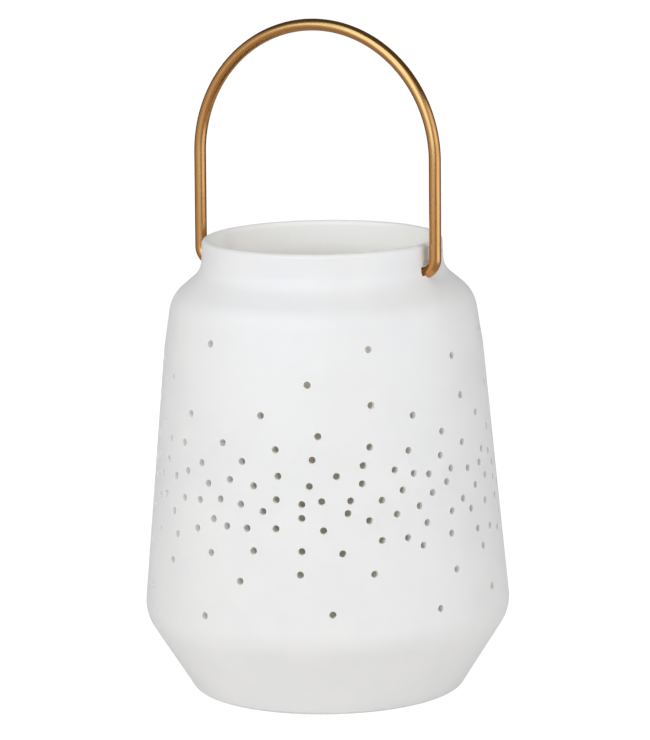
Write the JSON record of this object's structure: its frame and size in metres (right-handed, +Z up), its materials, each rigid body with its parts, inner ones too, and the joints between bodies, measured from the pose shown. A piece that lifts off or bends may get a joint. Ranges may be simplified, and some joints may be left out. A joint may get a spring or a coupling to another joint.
{
  "type": "lantern",
  "caption": "Table lantern: pierced bisque porcelain vessel with a flared foot band, rounded shoulder and short open neck, carried by a swinging bail of round brass-coloured wire.",
  "frame": {"origin": "centre of the flat foot, on the surface that the lantern stands on", "axes": "+Z up through the mouth; +X along the bail's hinge line seen from above, towards the hole whose leg hangs nearer the neck"},
  "size_m": [0.1536, 0.1536, 0.2814],
  "materials": {
    "bisque_porcelain": "unglazed, smooth matt white",
    "satin_brass": "satin, warm copper-gold"
  },
  "bodies": {
    "porcelain": {"porcelain_body": "bisque_porcelain"},
    "bail": {"wire_bail": "satin_brass"}
  },
  "joints": [
    {"name": "bail_swing", "type": "hinge", "parent": "porcelain", "child": "bail", "pos_m": [0, 0, 0.178], "axis": [0.9998, 0, 0.0192], "range_deg": [-72.3, 77.7]}
  ]
}
